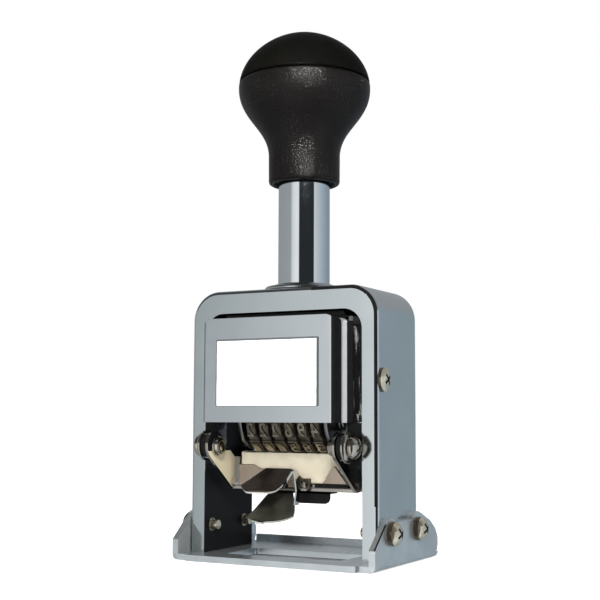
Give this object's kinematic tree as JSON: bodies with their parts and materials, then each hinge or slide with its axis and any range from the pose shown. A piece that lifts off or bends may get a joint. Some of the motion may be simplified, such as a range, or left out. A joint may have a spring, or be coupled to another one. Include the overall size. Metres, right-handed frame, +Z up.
{
  "type": "automatic numbering machine",
  "caption": "Hand-held automatic numbering machine: black knob, chrome plunger in an inverted-U frame, number wheels, swinging ink pad and a sheet base with a printing window.",
  "frame": {"origin": "on the resting plane, under the middle of the whole width and depth", "axes": "+X to the right seen from the front, +Y to the back, +Z up; the cover, label and ink pad face -Y"},
  "size_m": [0.0734, 0.049, 0.1632],
  "materials": {
    "chrome_frame": "gloss",
    "nickel": "satin",
    "bright_steel": "gloss",
    "black_knob": "matte",
    "black_metal": "satin",
    "steel": "satin",
    "spring_steel": "satin",
    "bronze_type": "satin",
    "brass_leaf": "satin",
    "label_white": "satin",
    "felt": "matte",
    "warm_steel": "satin"
  },
  "bodies": {
    "stand": {"frame": "chrome_frame", "base_plate": "chrome_frame", "base_screws": "nickel", "collar_bush": "chrome_frame", "front_cover": "chrome_frame", "label_plate": "label_white", "cover_brackets": "black_metal", "side_screws": "nickel", "pivot_screws": "nickel", "pivot_bosses": "nickel", "pivot_nuts": "nickel", "guide_rods": "bright_steel", "return_springs": "spring_steel", "feed_cam_plate": "black_metal", "cam_plate_screws": "nickel"},
    "plunger": {"knob_body": "black_knob", "knob_cap": "black_knob", "knob_screw": "nickel", "plunger_tube": "chrome_frame", "tube_plug": "steel", "crosshead": "steel", "crosshead_screws": "nickel", "carriage_head": "black_metal", "carriage_side_left": "steel", "carriage_side_right": "steel", "wheel_axle": "bright_steel", "axle_clips": "spring_steel", "wheel_spacers": "steel", "detent_comb": "brass_leaf", "back_plate": "chrome_frame"},
    "wheel_1_body": {"number_wheel_1": "bronze_type"},
    "wheel_2_body": {"number_wheel_2": "bronze_type"},
    "wheel_3_body": {"number_wheel_3": "bronze_type"},
    "wheel_4_body": {"number_wheel_4": "bronze_type"},
    "wheel_5_body": {"number_wheel_5": "bronze_type"},
    "wheel_6_body": {"number_wheel_6": "bronze_type"},
    "feed_yoke_body": {"feed_yoke": "steel", "pawl_pin": "bright_steel", "yoke_roller": "bright_steel"},
    "feed_pawl_body": {"feed_pawl": "brass_leaf"},
    "pad_carrier_body": {"pad_carrier": "chrome_frame", "carrier_tab": "warm_steel", "tab_rivets": "nickel"},
    "pad_tray_body": {"pad_tray": "chrome_frame", "pad_clip": "bright_steel", "clip_screw": "nickel", "felt_pad": "felt"},
    "repeat_dial_body": {"repeat_dial": "nickel"}
  },
  "joints": [
    {"name": "plunger_slide", "type": "slide", "parent": "stand", "child": "plunger", "axis": [0, 0, -1], "range_m": [0, 0.0312], "stiffness_N_per_m": 600, "springref_m": -0.01, "deforming": ["return_springs"]},
    {"name": "wheel_1_spin", "type": "hinge", "parent": "plunger", "child": "wheel_1_body", "pos_m": [0, -0.0055, 0.042], "axis": [1, 0, 0], "continuous": true},
    {"name": "wheel_2_spin", "type": "hinge", "parent": "plunger", "child": "wheel_2_body", "pos_m": [0, -0.0055, 0.042], "axis": [1, 0, 0], "continuous": true},
    {"name": "wheel_3_spin", "type": "hinge", "parent": "plunger", "child": "wheel_3_body", "pos_m": [0, -0.0055, 0.042], "axis": [1, 0, 0], "continuous": true},
    {"name": "wheel_4_spin", "type": "hinge", "parent": "plunger", "child": "wheel_4_body", "pos_m": [0, -0.0055, 0.042], "axis": [1, 0, 0], "continuous": true},
    {"name": "wheel_5_spin", "type": "hinge", "parent": "plunger", "child": "wheel_5_body", "pos_m": [0, -0.0055, 0.042], "axis": [1, 0, 0], "continuous": true},
    {"name": "wheel_6_spin", "type": "hinge", "parent": "plunger", "child": "wheel_6_body", "pos_m": [0, -0.0055, 0.042], "axis": [1, 0, 0], "continuous": true},
    {"name": "feed_yoke_swing", "type": "hinge", "parent": "plunger", "child": "feed_yoke_body", "pos_m": [0, -0.0055, 0.042], "axis": [-1, 0, 0], "range_deg": [0, 40.5]},
    {"name": "feed_pawl_rock", "type": "hinge", "parent": "feed_yoke_body", "child": "feed_pawl_body", "pos_m": [0, 0.00405, 0.05155], "axis": [1, 0, 0], "range_deg": [0, 10], "stiffness_Nm_per_rad": 0.01, "springref_deg": -11.46},
    {"name": "pad_carrier_swing", "type": "hinge", "parent": "stand", "child": "pad_carrier_body", "pos_m": [0, -0.0186, 0.034], "axis": [-1, 0, 0], "range_deg": [0, 152.5]},
    {"name": "pad_tray_slide", "type": "slide", "parent": "pad_carrier_body", "child": "pad_tray_body", "axis": [0, 1, 0], "range_m": [-0.022, 0]},
    {"name": "repeat_dial_turn", "type": "hinge", "parent": "plunger", "child": "repeat_dial_body", "pos_m": [0, 0.0085, 0.064], "axis": [0, 1, 0], "continuous": true}
  ],
  "couplings": [
    {"joint": "feed_yoke_swing", "follows": "plunger_slide", "rad_per_m": 22.376},
    {"joint": "pad_carrier_swing", "follows": "plunger_slide", "rad_per_m": 85}
  ]
}
